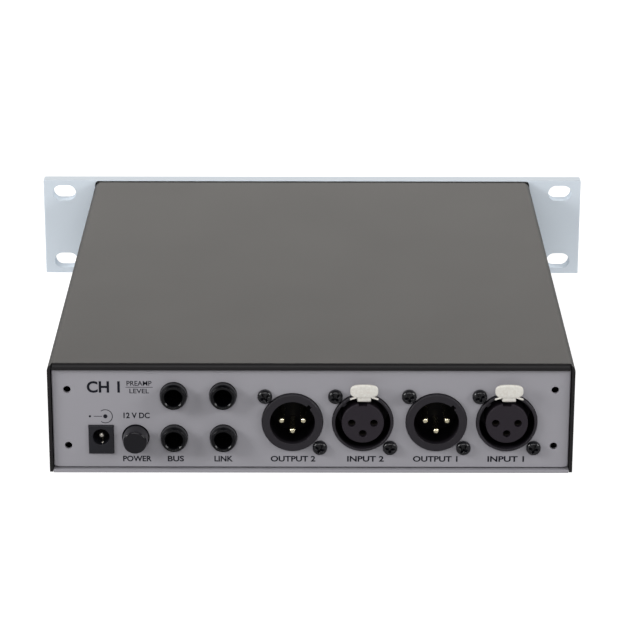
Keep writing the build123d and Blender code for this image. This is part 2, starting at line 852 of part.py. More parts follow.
def knob(x):
    """One knob: a fluted body on a round skirt, with a groove for its line and a bore for its shaft."""
    back = panel_front - knob_lift
    front = back - knob_length
    shape = rod(x, knob_row_z, front, back, knob_radius)
    shape = fillet(shape.edges().sort_by(Axis.Y)[0], knob_round)
    shape += rod(x, knob_row_z, back - knob_skirt, back, knob_radius + knob_skirt_lip)
    for n in range(knob_flute_count):
        angle = radians((n + 0.5) * 360 / knob_flute_count)
        fx, fz = x + knob_radius * cos(angle), knob_row_z + knob_radius * sin(angle)
        shape -= rod(fx, fz, front + knob_flute_setback, back - knob_skirt, knob_flute_radius)
    line, groove = knob_line_width / 2, front + knob_line_depth
    low, high = knob_row_z + knob_line_start, knob_row_z + knob_radius + through
    shape -= block(x - line, x + line, front - through, groove, low, high)
    shape -= rod(x, knob_row_z, back - shaft_engagement, back + through, shaft_radius + slip)
    recess = bushing_radius + bushing_clearance
    return shape - rod(x, knob_row_z, back - 2 * knob_lift, back + through, recess)


def shaft(x):
    """One shaft, with a flat where the knob grips it."""
    back = panel_front - knob_lift
    tip = back - shaft_engagement + shaft_end_gap
    shape = rod(x, knob_row_z, tip, shaft_inner_end, shaft_radius)
    flat = knob_row_z + shaft_radius - shaft_flat
    wide, past = shaft_radius, shaft_radius + through
    return shape - block(x - wide, x + wide, tip - through, back - through, flat, knob_row_z + past)


def push_keys():
    """Round push keys, each on a small switch with a lamp beside it."""
    bodies, lamps = [], []
    for name, x in keys.items():
        cap = rod(x, key_row_z, panel_front - key_stand, key_tail, key_radius)
        cap = fillet(cap.edges().sort_by(Axis.Y)[0], key_round)
        cap += rod(x, key_row_z, key_tail, key_stem_end, key_stem_radius)
        save(f"{name}_key", cap)
        side = key_switch_side / 2
        low, high = key_row_z - side, key_row_z + side
        body = block(x - side, x + side, key_switch_front, front_board_y, low, high)
        stem_end = key_stem_end + key_travel + key_stem_gap
        guide = rod(x, key_row_z, key_switch_front - through, stem_end, key_stem_radius + 2 * slip)
        bodies.append(body - guide)
        lamps.append(lamp(x + status_lamp_offset, key_row_z))
    save("key_switches", *bodies)
    save("status_lamps", *lamps)


def lamp(x, z):
    """A round lamp with a domed end, standing on the front board."""
    stem = rod(x, z, panel_front - lamp_stand, front_board_y, lamp_radius)
    return fillet(stem.edges().sort_by(Axis.Y)[0], lamp_stand)


def meter_lamps():
    """Two columns of lamps: signal level and gain reduction."""
    columns = (level_lamps_x, reduction_lamps_x)
    save("meter_lamps", *[lamp(x, z) for x in columns for z in lamp_heights()])


# ---- Inside ----
def boards():
    """The front board behind the controls, the main board on standoffs, and the ribbon between them."""
    half = cover_inside - board_side_gap
    top = front_board_bottom + front_board_height
    back = front_board_y + board_wall
    save("front_board", block(-half, half, front_board_y, back, front_board_bottom, top))

    main = block(-board_half, board_half, board_front, board_rear, board_bottom, board_top)
    standoffs, screws = [], []
    for x, y in board_corners():
        main -= post(x, y, board_bottom - through, board_top + through, through_radius)
        standoff = post(x, y, tray_top, board_bottom, standoff_radius)
        standoffs.append(standoff - post(x, y, tray_top - through, board_bottom + through, tapped_radius))
        screw = post(x, y, underside + 2 * sheet_gap, board_top, screw_radius)
        screws.append(screw + post(x, y, board_top, board_top + pan_head_height, pan_head_radius))
    save("main_board", main)
    save("board_standoffs", *standoffs)
    save("board_screws", *screws)

    run_end = board_front + ribbon_run
    low, high = board_top + ribbon_rise, board_top + ribbon_rise + ribbon_thick
    drop = block(-ribbon_half, ribbon_half, back, back + ribbon_thick, high, board_top + ribbon_top)
    flat = block(-ribbon_half, ribbon_half, back, run_end, low, high)
    rise = block(-ribbon_half, ribbon_half, run_end, run_end + ribbon_thick, board_top, high)
    save("ribbon_cable", drop + flat + rise)


def standing(x, y, length, width, height):
    """A box standing on the main board, centred on a place."""
    wide, deep = length / 2, width / 2
    return block(x - wide, x + wide, y - deep, y + deep, board_top, board_top + height)


def small_rows():
    """Rows of small parts, spread evenly between the board's front edge and the relays."""
    first, last = board_front + small_row_gap, relay_row_y - small_row_gap
    return [first + (last - first) * n / (small_row_count - 1) for n in range(small_row_count)]


def board_parts():
    """Transformers, capacitors, relays, chips and a regulator's heat sink on the main board."""
    can = standing(can_x, heavy_row_y, can_side, can_side, can_height)
    can = fillet(can.edges().filter_by(Axis.Z), can_corner)
    save("input_transformer", fillet(can.faces().sort_by(Axis.Z)[-1].outer_wire().edges(), can_round))

    cores, coils = [], []
    for x in core_places:
        core, coil = output_transformer(x, heavy_row_y)
        cores.append(core)
        coils.append(coil)
    save("output_transformer_cores", *cores)
    save("output_transformer_coils", *coils)

    cans = []
    for x in capacitor_places:
        for y in small_rows():
            shape = post(x, y, board_top, board_top + capacitor_height, capacitor_radius)
            cans.append(fillet(shape.edges().sort_by(Axis.Z)[-1], capacitor_round))
    save("capacitors", *cans)
    relays = [standing(x, relay_row_y, relay_length, relay_width, relay_height) for x in relay_places]
    save("relays", *relays)
    chips = []
    for x in chip_places:
        chips += [standing(x, y, chip_length, chip_width, chip_height) for y in small_rows()]
    save("amplifier_chips", *chips)

    sink = standing(sink_x, heavy_row_y + sink_plate, sink_width, sink_plate, sink_height)
    fin_y = heavy_row_y + 1.5 * sink_plate + sink_fin_length / 2
    fin_count = int((sink_width - sink_fin) / sink_fin_pitch) + 1
    for n in range(fin_count):
        x = sink_x + (n - (fin_count - 1) / 2) * sink_fin_pitch
        sink += standing(x, fin_y, sink_fin, sink_fin_length, sink_height)
    save("heat_sink", sink)


def output_transformer(x, y):
    """A laminated core with two windows, and the taped coil on its middle leg."""
    core = standing(x, y, core_width, core_depth, core_height)
    window_low, window_high = board_top + core_bar, board_top + core_height - core_bar
    half = core_window / 2
    y0, y1 = y - core_depth / 2 - through, y + core_depth / 2 + through
    for side in (-1, 1):
        centre = x + side * core_window_offset
        core -= block(centre - half, centre + half, y0, y1, window_low, window_high)
    coil_half = core_window_offset + half - coil_gap
    out = core_depth / 2 + coil_overhang
    low, high = window_low + coil_gap, window_high - coil_gap
    coil = block(x - coil_half, x + coil_half, y - out, y + out, low, high)
    coil = fillet(coil.edges().filter_by(Axis.Z), coil_corner)
    leg = core_window_offset - half + slip
    deep = core_depth / 2 + slip
    return core, coil - block(x - leg, x + leg, y - deep, y + deep, low - through, high + through)


if __name__ == "__main__":
    os.makedirs("parts", exist_ok=True)
    top_cover()
    bottom_tray()
    rear_panel()
    front_panel()
    front_subframe()
    flat_screws()
    output_shells()
    input_shells()
    connector_screws()
    jack_sockets()
    power_inlet()
    power_button()
    controls()
    push_keys()
    meter_lamps()
    boards()
    board_parts()
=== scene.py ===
import bpy
import numpy as np
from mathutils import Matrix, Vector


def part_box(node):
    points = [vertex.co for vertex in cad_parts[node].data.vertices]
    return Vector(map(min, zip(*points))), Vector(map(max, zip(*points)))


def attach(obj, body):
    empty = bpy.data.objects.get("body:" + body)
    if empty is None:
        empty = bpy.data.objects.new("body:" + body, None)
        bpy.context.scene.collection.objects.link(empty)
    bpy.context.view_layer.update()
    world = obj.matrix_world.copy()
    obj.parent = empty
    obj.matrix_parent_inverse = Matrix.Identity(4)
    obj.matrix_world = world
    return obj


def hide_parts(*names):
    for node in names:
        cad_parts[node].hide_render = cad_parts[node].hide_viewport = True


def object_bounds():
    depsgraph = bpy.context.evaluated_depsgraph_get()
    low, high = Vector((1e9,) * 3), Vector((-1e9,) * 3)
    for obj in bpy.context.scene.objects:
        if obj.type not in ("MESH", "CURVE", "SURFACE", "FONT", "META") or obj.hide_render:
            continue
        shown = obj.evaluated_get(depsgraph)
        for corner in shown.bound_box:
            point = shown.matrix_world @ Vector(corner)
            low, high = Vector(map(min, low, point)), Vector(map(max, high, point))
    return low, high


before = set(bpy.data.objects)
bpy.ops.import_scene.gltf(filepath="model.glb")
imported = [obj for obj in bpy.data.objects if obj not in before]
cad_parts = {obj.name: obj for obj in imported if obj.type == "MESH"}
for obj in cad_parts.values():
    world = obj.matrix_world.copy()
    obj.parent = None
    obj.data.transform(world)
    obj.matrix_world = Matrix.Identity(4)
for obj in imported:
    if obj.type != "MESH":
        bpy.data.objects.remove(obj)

cad_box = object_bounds()
mm = 0.001


# ---- Studio ----
# The unit stands on a sheet of white paper under a white surround. A wide lamp hangs over it, a second one
# stands beyond the front panel, and two smaller ones shine down on the connectors, one from each side.
floor_z = cad_box[0].z


def paper_floor():
    """A flat sheet of paper: a grid of four corners under the unit and far wider than it. To the camera it
    glows all over, so that it burns out to plain white. To the unit it glows only beyond the front panel."""
    reach = 4.0
    gap = 0.02 * mm
    grey = 0.45
    near_y, near_glow = 0.15, 0.08
    far_y, far_glow = -0.15, 0.7
    seen_glow = 0.9
    paper = bpy.data.materials.new("floor_paper")
    paper.use_nodes = True
    tree = paper.node_tree
    shader = tree.nodes["Principled BSDF"]
    shader.inputs["Base Color"].default_value = (grey, grey, grey, 1)
    shader.inputs["Roughness"].default_value = 1.0
    shader.inputs["Specular IOR Level"].default_value = 0.0
    shader.inputs["Emission Color"].default_value = (1, 1, 1, 1)
    place = tree.nodes.new("ShaderNodeTexCoord")
    split = tree.nodes.new("ShaderNodeSeparateXYZ")
    tree.links.new(place.outputs["Object"], split.inputs["Vector"])
    spread = tree.nodes.new("ShaderNodeMapRange")
    spread.inputs["From Min"].default_value = near_y
    spread.inputs["From Max"].default_value = far_y
    spread.inputs["To Min"].default_value = near_glow
    spread.inputs["To Max"].default_value = far_glow
    tree.links.new(split.outputs["Y"], spread.inputs["Value"])
    sight = tree.nodes.new("ShaderNodeLightPath")
    glow = tree.nodes.new("ShaderNodeMapRange")
    glow.inputs["To Max"].default_value = seen_glow
    tree.links.new(sight.outputs["Is Camera Ray"], glow.inputs["Value"])
    tree.links.new(spread.outputs["Result"], glow.inputs["To Min"])
    tree.links.new(glow.outputs["Result"], shader.inputs["Emission Strength"])
    x, y = np.meshgrid([-reach, reach], [-reach, reach])
    corners = np.stack([x.ravel(), y.ravel(), np.full(4, floor_z - gap)], 1)
    sheet = bpy.data.meshes.new("floor")
    sheet.from_pydata(corners.tolist(), [], [(0, 1, 3, 2)])
    sheet.materials.append(paper)
    piece = bpy.data.objects.new("floor", sheet)
    bpy.context.scene.collection.objects.link(piece)


def soft_lamp(name, place, tilt, width, height, power, colour=(1, 1, 1)):
    """A rectangular lamp that shines along its own -Z; tilt is its rotation in degrees."""
    light = bpy.data.lights.new(name, "AREA")
    light.shape = "RECTANGLE"
    light.size = width
    light.size_y = height
    light.energy = power
    light.color = colour
    piece = bpy.data.objects.new(name, light)
    piece.location = place
    piece.rotation_euler = np.radians(tilt)
    bpy.context.scene.collection.objects.link(piece)


def studio_camera():
    """A long lens behind the unit, tilted down at its connectors."""
    tilt_down, roll, turn = 19.425, -0.085, 180
    lens = bpy.data.cameras.new("camera")
    lens.lens = 157.86
    lens.sensor_width = 36
    lens.shift_x = -0.011
    lens.clip_end = 20
    piece = bpy.data.objects.new("camera", lens)
    piece.location = (-1.56 * mm, 1165.66 * mm, 371.47 * mm)
    piece.rotation_euler = np.radians((90 - tilt_down, roll, turn))
    bpy.context.scene.collection.objects.link(piece)
    bpy.context.scene.camera = piece


def white_surround(strength):
    """An even white world."""
    world = bpy.data.worlds.new("surround")
    world.use_nodes = True
    world.node_tree.nodes["Background"].inputs["Color"].default_value = (1, 1, 1, 1)
    world.node_tree.nodes["Background"].inputs["Strength"].default_value = strength
    bpy.context.scene.world = world


paper_floor()
white_surround(strength=0.2)
studio_camera()
soft_lamp("lamp_over", (0, 2.2, 1.1), tilt=(-64, 0, 0), width=1.6, height=0.8, power=15)
soft_lamp("lamp_beyond", (0, -1.3, 0.7), tilt=(90, 0, 0), width=2.4, height=0.9, power=16.5,
          colour=(1, 0.965, 0.915))
soft_lamp("lamp_left", (1.2, 0.75, 0.62), tilt=(0, 63, 30), width=0.45, height=0.55, power=10)
soft_lamp("lamp_right", (-1.2, 0.75, 0.62), tilt=(0, -63, -30), width=0.45, height=0.55, power=7)
bpy.context.scene.view_settings.view_transform = "Standard"


# ---- Folded case ----
# The cover is one sheet of steel folded at the sides and rear, with a black satin powder coat. The frame
# behind the front panel has the same coat. Its black also stands in for the shadow line in the gap between
# the cover's front edge and the panel, so it is partly painted shade. The tray and the rear panel are painted
# a cool grey.


def grain_group():
    """Two sizes of noise on the same coordinates: fine for the surface, broad for its colour and gloss."""
    tree = bpy.data.node_groups.new("paint_grain", "ShaderNodeTree")
    tree.interface.new_socket("Vector", in_out="INPUT", socket_type="NodeSocketVector")
    for name in ("Fine Scale", "Broad Scale"):
        tree.interface.new_socket(name, in_out="INPUT", socket_type="NodeSocketFloat")
    for name in ("Fine", "Broad"):
        tree.interface.new_socket(name, in_out="OUTPUT", socket_type="NodeSocketFloat")
    given = tree.nodes.new("NodeGroupInput")
    result = tree.nodes.new("NodeGroupOutput")
    for name in ("Fine", "Broad"):
        noise = tree.nodes.new("ShaderNodeTexNoise")
        noise.inputs["Detail"].default_value = 3
        tree.links.new(given.outputs["Vector"], noise.inputs["Vector"])
        tree.links.new(given.outputs[name + " Scale"], noise.inputs["Scale"])
        tree.links.new(noise.outputs["Fac"], result.inputs[name])
    return tree


def rounded_edge_group():
    """Edges as if rounded by a radius: the averaged normal, and a mask that grows from none to full as the
    cosine between it and the real normal falls."""
    none_at, full_at = 0.995, 0.8
    tree = bpy.data.node_groups.new("rounded_edge", "ShaderNodeTree")
    tree.interface.new_socket("Radius", in_out="INPUT", socket_type="NodeSocketFloat")
    tree.interface.new_socket("Normal", in_out="OUTPUT", socket_type="NodeSocketVector")
    tree.interface.new_socket("Worn", in_out="OUTPUT", socket_type="NodeSocketFloat")
    given = tree.nodes.new("NodeGroupInput")
    result = tree.nodes.new("NodeGroupOutput")
    bevel = tree.nodes.new("ShaderNodeBevel")
    bevel.samples = 4
    geometry = tree.nodes.new("ShaderNodeNewGeometry")
    lean = tree.nodes.new("ShaderNodeVectorMath")
    lean.operation = "DOT_PRODUCT"
    spread = tree.nodes.new("ShaderNodeMapRange")
    spread.inputs["From Min"].default_value = none_at
    spread.inputs["From Max"].default_value = full_at
    tree.links.new(given.outputs["Radius"], bevel.inputs["Radius"])
    tree.links.new(bevel.outputs["Normal"], lean.inputs[0])
    tree.links.new(geometry.outputs["Normal"], lean.inputs[1])
    tree.links.new(lean.outputs["Value"], spread.inputs["Value"])
    tree.links.new(bevel.outputs["Normal"], result.inputs["Normal"])
    tree.links.new(spread.outputs["Result"], result.inputs["Worn"])
    return tree


paint_grain = grain_group()
rounded_edge = rounded_edge_group()


def fade_with_depth(tree, shader, place, wear, gloss, mouth):
    """Painted shade in a socket's bore: darkens the colour and the gloss of points that lie deeper than the
    socket's mouth.
    """
    fade_start, fade_end = 0.5 * mm, 3.5 * mm
    deep_share = 0.2
    split = tree.nodes.new("ShaderNodeSeparateXYZ")
    tree.links.new(place.outputs["Object"], split.inputs["Vector"])
    shares = []
    for open_value in (1.0, gloss):
        share = tree.nodes.new("ShaderNodeMapRange")
        share.inputs["From Min"].default_value = mouth - fade_end
        share.inputs["From Max"].default_value = mouth - fade_start
        share.inputs["To Min"].default_value = open_value * deep_share
        share.inputs["To Max"].default_value = open_value
        tree.links.new(split.outputs["Y"], share.inputs["Value"])
        shares.append(share)
    darker = tree.nodes.new("ShaderNodeMix")
    darker.data_type = "RGBA"
    darker.inputs["A"].default_value = (0, 0, 0, 1)
    tree.links.new(shares[0].outputs["Result"], darker.inputs["Factor"])
    tree.links.new(wear.outputs["Result"], darker.inputs["B"])
    tree.links.new(darker.outputs["Result"], shader.inputs["Base Color"])
    tree.links.new(shares[1].outputs["Result"], shader.inputs["Specular IOR Level"])


def finish(name, colour, rough, metal=0.0, gloss=0.5, mottle=0.06, fine=1800, broad=30, bump=0.01,
           edge=0.25, worn=0.3, uneven=0.15, stretch=(1, 1, 1), mouth=None):
    """A coated or bare surface. Broad grain shifts its colour by mottle and its roughness by uneven. Fine
    grain raises it by bump millimetres. Its edges are rounded by edge millimetres and worn lighter. Where the
    Y of a mouth is given, painted shade darkens the colour and the gloss with depth in from it."""
    paler, lift = 1.5, 0.003
    made = bpy.data.materials.new(name)
    made.use_nodes = True
    tree = made.node_tree
    shader = tree.nodes["Principled BSDF"]
    shader.inputs["Metallic"].default_value = metal
    shader.inputs["Specular IOR Level"].default_value = gloss

    place = tree.nodes.new("ShaderNodeTexCoord")
    pull = tree.nodes.new("ShaderNodeMapping")
    pull.inputs["Scale"].default_value = stretch
    tree.links.new(place.outputs["Object"], pull.inputs["Vector"])
    grain = tree.nodes.new("ShaderNodeGroup")
    grain.node_tree = paint_grain
    grain.inputs["Fine Scale"].default_value = fine
    grain.inputs["Broad Scale"].default_value = broad
    tree.links.new(pull.outputs["Vector"], grain.inputs["Vector"])
    edges = tree.nodes.new("ShaderNodeGroup")
    edges.node_tree = rounded_edge
    edges.inputs["Radius"].default_value = edge * mm

    patch = tree.nodes.new("ShaderNodeMix")
    patch.data_type = "RGBA"
    patch.inputs["A"].default_value = (*[part * (1 - mottle) for part in colour], 1)
    patch.inputs["B"].default_value = (*[min(part * (1 + mottle), 1) for part in colour], 1)
    tree.links.new(grain.outputs["Broad"], patch.inputs["Factor"])
    rub = tree.nodes.new("ShaderNodeMath")
    rub.operation = "MULTIPLY"
    rub.inputs[1].default_value = worn
    tree.links.new(edges.outputs["Worn"], rub.inputs[0])
    wear = tree.nodes.new("ShaderNodeMix")
    wear.data_type = "RGBA"
    wear.inputs["B"].default_value = (*[min(part * paler + lift, 1) for part in colour], 1)
    tree.links.new(rub.outputs["Value"], wear.inputs["Factor"])
    tree.links.new(patch.outputs["Result"], wear.inputs["A"])
    tree.links.new(wear.outputs["Result"], shader.inputs["Base Color"])
    # Painted shade: colour and gloss darken with depth into a socket's bore.
    if mouth is not None:
        fade_with_depth(tree, shader, place, wear, gloss, mouth)

    dull = tree.nodes.new("ShaderNodeMapRange")
    dull.inputs["To Min"].default_value = rough * (1 - uneven)
    dull.inputs["To Max"].default_value = min(rough * (1 + uneven), 1)
    tree.links.new(grain.outputs["Broad"], dull.inputs["Value"])
    tree.links.new(dull.outputs["Result"], shader.inputs["Roughness"])
    raised = tree.nodes.new("ShaderNodeBump")
    raised.inputs["Distance"].default_value = bump * mm
    tree.links.new(grain.outputs["Fine"], raised.inputs["Height"])
    tree.links.new(edges.outputs["Normal"], raised.inputs["Normal"])
    tree.links.new(raised.outputs["Normal"], shader.inputs["Normal"])
    return made


def coat(material, *names):
    """Gives a finish to CAD pieces."""
    for name in names:
        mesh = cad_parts[name].data
        mesh.materials.clear()
        mesh.materials.append(material)


powder_coat = finish("cover_powder_coat", (0.0085, 0.0075, 0.0085), 0.5, gloss=0.32, mottle=0.1, uneven=0.03,
                     bump=0.03)
# The frame's black is partly its coat and partly painted shade for the shadow line between the cover's front
# edge and the panel.
subframe_black_gap_shade = finish("frame_black_and_gap_shade", (0.006, 0.0065, 0.0075), 0.6, gloss=0.12, bump=0.012, edge=0.1)
grey_paint = finish("cool_grey_paint", (0.35, 0.342, 0.372), 0.5, gloss=0.35, mottle=0.025, bump=0.006)
coat(powder_coat, "top_cover")
coat(subframe_black_gap_shade, "front_subframe")
coat(grey_paint, "rear_panel", "bottom_tray")


# ---- Front panel ----
# A machined aluminium plate, fine-brushed along its length and clear anodised. It carries every control and
# has a slot at each corner for a rack screw.
anodised = finish("clear_anodised", (0.74, 0.815, 0.89), 0.6, gloss=0.3, mottle=0.03, fine=900, broad=20,
                  bump=0.003, edge=0.15, stretch=(0.08, 1, 1))
coat(anodised, "front_panel")


# ---- Printed marks on the rear panel ----
# Dark screen-printed words under and over the sockets, a polarity sign over the power inlet and a ruled mark
# beside the channel number. Ink has almost no thickness.
rear_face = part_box("rear_panel")[1].y
underside_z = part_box("bottom_tray")[0].z
ink_sheet = 0.02 * mm


def ink(name, colour):
    """Flat printing ink, a little uneven in its colour."""
    return finish(name, colour, 0.6, gloss=0.12, mottle=0.25, fine=4000, broad=600, bump=0.002, edge=0.02)


def make_piece(name, points, faces, material, smooth=True):
    """A mesh object from arrays of points and faces, with its place in its mesh."""
    mesh = bpy.data.meshes.new(name)
    mesh.from_pydata(np.asarray(points, float).tolist(), [], [list(face) for face in faces])
    mesh.polygons.foreach_set("use_smooth", np.full(len(mesh.polygons), smooth))
    mesh.materials.append(material)
    mesh.update()
    piece = bpy.data.objects.new(name, mesh)
    bpy.context.scene.collection.objects.link(piece)
    return piece


def word_shape(word, weight):
    """The outlines of a word, thickened by weight of its size, as a flat sheet in a box one unit each way."""
    curve = bpy.data.curves.new("word", "FONT")
    curve.body = word
    curve.resolution_u = 4
    curve.offset = weight
    carrier = bpy.data.objects.new("word", curve)
    mesh = bpy.data.meshes.new_from_object(carrier)
    flat = np.zeros(len(mesh.vertices) * 3)
    mesh.vertices.foreach_get("co", flat)
    points = flat.reshape(-1, 3)[:, :2]
    faces = [tuple(polygon.vertices) for polygon in mesh.polygons]
    low, high = points.min(0), points.max(0)
    bpy.data.meshes.remove(mesh)
    bpy.data.objects.remove(carrier)
    bpy.data.curves.remove(curve)
    return (points - low) / (high - low), faces


def printed(name, words, strokes, plane, facing, material):
    """Words and strokes laid on a plane across Y. A word fills the box (left, right, low, high); a stroke is
    a sheet already given as points and faces. Facing is +1 to be read from the rear and -1 from the front."""
    bold, plain = 0.028, 0.012
    bold_from = 2.1 * mm
    points, faces = [], []
    sheets = list(strokes)
    for word, left, right, low, high in words:
        shape, parts = word_shape(word, bold if high - low > bold_from else plain)
        sheets.append((shape * [right - left, high - low] + [left, low], parts))
    for shape, parts in sheets:
        start = len(points)
        across = -facing * shape[:, 0]
        deep = np.full(len(shape), plane + facing * ink_sheet)
        points += np.stack([across, deep, shape[:, 1]], 1).tolist()
        faces += [tuple(start + corner for corner in part) for part in parts]
    return make_piece(name, points, faces, material, smooth=False)


def arc_stroke(x, z, radius, width, start, end, count=40):
    """A bent stroke: points at radius plus and minus half the width, round from start to end in degrees."""
    turn = np.radians(np.linspace(start, end, count))
    rims = [radius - width / 2, radius + width / 2]
    shape = np.concatenate([np.stack([x + r * np.cos(turn), z + r * np.sin(turn)], 1) for r in rims])
    return shape, [(n, count + n, count + n + 1, n + 1) for n in range(count - 1)]


def dot_stroke(x, z, radius, count=32):
    """A filled dot: one face with its corners spaced round a circle."""
    turn = np.linspace(0, 2 * np.pi, count, endpoint=False)
    return np.stack([x + radius * np.cos(turn), z + radius * np.sin(turn)], 1), [tuple(range(count))]


def bar_stroke(left, right, low, high):
    """A straight stroke with four corners."""
    return np.array([(left, low), (right, low), (right, high), (left, high)]), [(0, 1, 2, 3)]


def rear_words():
    """The words: text, left and right edge as read from the rear, then lower and upper edge as heights over
    the underside. Lengths are in millimetres here, and in metres in the result."""
    row = (3.95, 6.25)
    words = [
        ("POWER", -69.8, -59.2, *row),
        ("BUS", -53.2, -47.2, *row),
        ("LINK", -35.9, -29.0, *row),
        ("OUTPUT 2", -15.0, 1.6, *row),
        ("INPUT 2", 13.4, 27.0, *row),
        ("OUTPUT 1", 37.8, 54.4, *row),
        ("INPUT 1", 65.5, 79.1, *row),
        ("12 V DC", -69.3, -59.6, 21.15, 23.45),
        ("CH 1", -82.6, -70.4, 31.25, 35.85),
        ("PREAMP", -67.9, -58.7, 34.05, 35.95),
        ("LEVEL", -66.9, -59.7, 31.05, 32.85),
    ]
    return [(word, left * mm, right * mm, underside_z + low * mm, underside_z + high * mm)
            for word, left, right, low, high in words]


def polarity_sign():
    """A dot in an open ring, a short lead to its left and a smaller dot at the lead's end, plus the rule."""
    x, z = -76.0 * mm, underside_z + 21.95 * mm
    dot_radius, ring_radius, ring_width, ring_end = 0.8 * mm, 2.6 * mm, 0.28 * mm, 128
    lead_far, lead_near, lead_half = 4.3 * mm, 1.2 * mm, 0.12 * mm
    end_far, end_radius = 5.7 * mm, 0.44 * mm
    rule_left, rule_right = -68.3 * mm, -58.3 * mm
    rule_low, rule_high = underside_z + 33.35 * mm, underside_z + 33.55 * mm
    return [
        dot_stroke(x, z, dot_radius),
        arc_stroke(x, z, ring_radius, ring_width, -ring_end, ring_end),
        bar_stroke(x - lead_far, x - lead_near, z - lead_half, z + lead_half),
        dot_stroke(x - end_far, z, end_radius),
        bar_stroke(rule_left, rule_right, rule_low, rule_high),
    ]


dark_ink = ink("dark_ink", (0.012, 0.012, 0.018))
rear_print = printed("rear_print", rear_words(), polarity_sign(), rear_face, 1, dark_ink)
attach(rear_print, "chassis")


# ---- Output sockets ----
# Two round male receptacles. The shell is a zinc casting with a charcoal coat, and three gold-plated pins
# stand on its floor.
# The charcoal finish carries painted shade that darkens it with depth into each bore.
charcoal = finish("charcoal_casting", (0.019, 0.0165, 0.0215), 0.42, gloss=0.35, mottle=0.12, edge=0.3,
                  mouth=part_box("comp_output_shell")[1].y)
pin_gold = finish("pin_gold", (0.93, 0.86, 0.62), 0.22, metal=1.0, mottle=0.03, bump=0.002, edge=0.1)
coat(charcoal, "comp_output_shell", "line_output_shell")
coat(pin_gold, "output_pins")


# ---- Input sockets ----
# Two round female receptacles: the same shell with a moulded insert and hidden contacts. A bright steel latch
# tab stands over each. Its arm is one strip that bends back into the groove, with a spring wing at each side.
insert_plastic = finish("insert_plastic", (0.019, 0.0145, 0.0205), 0.5, gloss=0.3, mottle=0.1, bump=0.012)
contact_dark = finish("contact_tarnished", (0.03, 0.025, 0.018), 0.5, metal=0.6, mottle=0.15, bump=0.004)
# The same charcoal finish, with its painted shade in the bores.
coat(charcoal, "comp_input_shell", "mic_input_shell")
coat(insert_plastic, "comp_input_insert", "mic_input_insert")
coat(contact_dark, "input_contacts")
latch_steel = finish("latch_steel", (0.95, 0.885, 0.79), 0.45, metal=0.3, mottle=0.2, fine=2600, broad=1500,
                     bump=0.05, edge=0.1, worn=0.1)


def powered(values, exponent):
    """Each value with its size raised to the exponent and its sign kept."""
    return np.sign(values) * np.abs(values) ** exponent


def tab_pillow(x, y, z, wide, deep, tall, square=3.0, plump=5.5, around=64, across=33):
    """A plump tab. Going round by u and from the front to the back by v, with c and s the powered cosine and
    sine, its points are x + wide c(u) s(v), z + tall s(u) s(v) and y + deep c(v)."""
    pole = 0.02
    u = np.linspace(0, 2 * np.pi, around, endpoint=False)
    v = np.pi * (0.5 - 0.5 * np.cos(np.linspace(pole, np.pi - pole, across)))
    out = powered(np.sin(v), 2 / plump)[:, None]
    px = x + wide * powered(np.cos(u), 2 / square)[None] * out
    pz = z + tall * powered(np.sin(u), 2 / square)[None] * out
    py = y + deep * powered(np.cos(v), 2 / plump)[:, None] + 0 * px
    return np.stack([px, py, pz], -1)


def wrapped_faces(rows, columns):
    """Quads of a grid whose columns close on themselves."""
    row, column = np.meshgrid(np.arange(rows - 1), np.arange(columns), indexing="ij")
    after = (column + 1) % columns
    quads = np.stack([row * columns + column, row * columns + after, (row + 1) * columns + after,
                      (row + 1) * columns + column], -1)
    return quads.reshape(-1, 4)


def bent_strip(path, across, wide, thick, corner=0.45, around=24):
    """A strip with a rounded section carried along a path. Each section point is the path point plus its
    share of the across direction and of the path's own normal. The corner exponent sets how square it is."""
    path = np.asarray(path, float)
    along = np.gradient(path, axis=0)
    along /= np.linalg.norm(along, axis=1, keepdims=True)
    across = np.asarray(across, float)
    normal = np.cross(along, across)
    turn = np.linspace(0, 2 * np.pi, around, endpoint=False)
    side = (wide / 2 * powered(np.cos(turn), corner))[None, :, None] * across
    up = (thick / 2 * powered(np.sin(turn), corner))[None, :, None] * normal[:, None, :]
    return path[:, None, :] + side + up


def closed_tube(grid):
    """A grid of rings made into points and faces, with a centre point that closes each end."""
    rows, columns = grid.shape[:2]
    points = np.concatenate([grid.reshape(-1, 3), [grid[0].mean(0), grid[-1].mean(0)]])
    first, last = rows * columns, rows * columns + 1
    ends = [(first, (n + 1) % columns, n) for n in range(columns)]
    base = (rows - 1) * columns
    ends += [(last, base + n, base + (n + 1) % columns) for n in range(columns)]
    return points, [tuple(quad) for quad in wrapped_faces(rows, columns)] + ends


def join_shapes(shapes):
    """Several (points, faces) pairs as one."""
    points, faces, start = [], [], 0
    for shape, parts in shapes:
        points.append(shape)
        faces += [tuple(start + corner for corner in part) for part in parts]
        start += len(shape)
    return np.concatenate(points), faces


